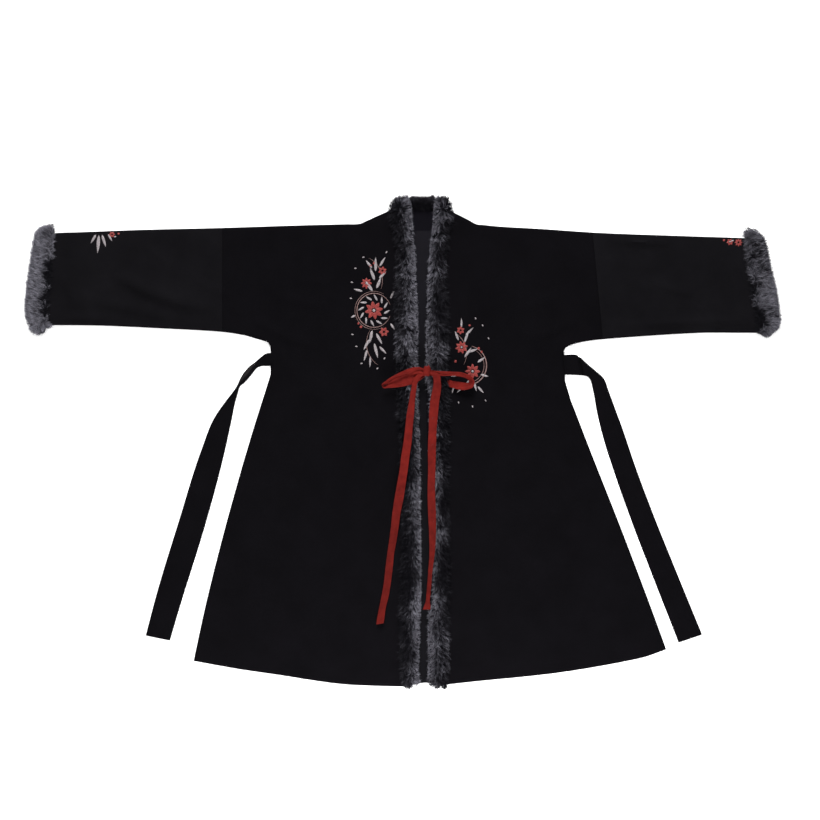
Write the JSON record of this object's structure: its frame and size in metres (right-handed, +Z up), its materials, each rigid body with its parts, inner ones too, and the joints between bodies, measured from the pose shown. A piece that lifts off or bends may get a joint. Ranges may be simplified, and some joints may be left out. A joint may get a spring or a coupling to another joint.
{
  "type": "hanfu jacket",
  "caption": "Short open-front hanfu jacket laid flat, dark wool cloth with fur edging and cuffs, belt straps and a tied red ribbon.",
  "frame": {"origin": "middle of the laid garment's outline, on the surface it lies on", "axes": "+X along the sleeves to the viewer's right, +Y from hem to neck, +Z up off the surface"},
  "size_m": [1.5097, 0.9901, 0.0265],
  "materials": {
    "wool_cloth": "matt, short nap",
    "sleeve_cloth": "matt, smooth",
    "lining": "soft sheen",
    "facing": "soft sheen",
    "fur": "long soft pile",
    "red_ribbon": "matt woven ribbon",
    "embroidery": "satin stitch thread"
  },
  "bodies": {
    "root": {"back": "wool_cloth", "lining_back": "lining", "neck_facing": "facing", "front_left": "wool_cloth", "front_right": "wool_cloth", "sleeve_left": "sleeve_cloth", "sleeve_right": "sleeve_cloth", "fur_cuff_left": "fur", "fur_cuff_right": "fur", "fur_front_left": "fur", "fur_front_right": "fur", "fur_neck": "fur", "strap_left": "wool_cloth", "strap_right": "wool_cloth", "tie_knot": "red_ribbon", "tie_loop_left": "red_ribbon", "tie_loop_right": "red_ribbon", "tie_tail_left": "red_ribbon", "tie_tail_right": "red_ribbon"}
  },
  "joints": []
}
